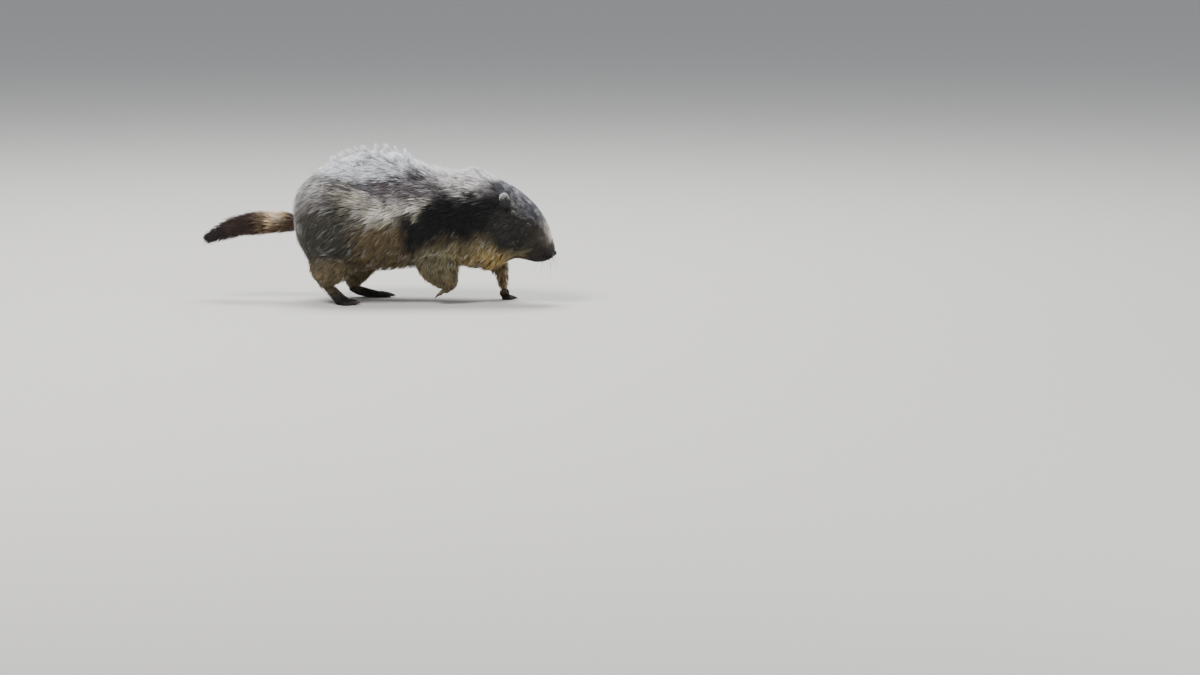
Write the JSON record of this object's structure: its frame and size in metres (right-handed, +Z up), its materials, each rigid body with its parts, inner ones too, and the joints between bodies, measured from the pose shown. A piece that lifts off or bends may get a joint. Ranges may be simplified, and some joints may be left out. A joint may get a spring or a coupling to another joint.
{
  "type": "alpine marmot",
  "caption": "Still, life-size model of an alpine marmot in mid stride, head lowered and tail held out behind.",
  "frame": {"origin": "on the floor, under the middle of the whole animal's box", "axes": "+X towards the nose, +Y to the animal's left, +Z up"},
  "size_m": [0.587, 0.1934, 0.2557],
  "materials": {
    "body_coat": "dense fur, grey-brown frosted with silver on the back, buff below",
    "face_coat": "short charcoal fur with pale hairs on the crown and nose bridge",
    "tail_coat": "bushy fur, buff at the root and dark brown to the tip",
    "foot_skin": "dark skin with short hair, and horn-coloured claws",
    "nose_skin": "bare, fine-grained, slightly moist",
    "eye": "wet, nearly black"
  },
  "bodies": {
    "root": {"torso": "body_coat", "neck": "body_coat", "hindleg_right": "body_coat", "hindleg_left": "body_coat", "foreleg_right": "body_coat", "foreleg_left": "body_coat", "head": "face_coat", "ear_left": "face_coat", "ear_right": "face_coat", "tail": "tail_coat", "hindfoot_right": "foot_skin", "hindfoot_left": "foot_skin", "forepaw_right": "foot_skin", "forepaw_left": "foot_skin", "nose": "nose_skin", "eye_left": "eye", "eye_right": "eye"}
  },
  "joints": []
}
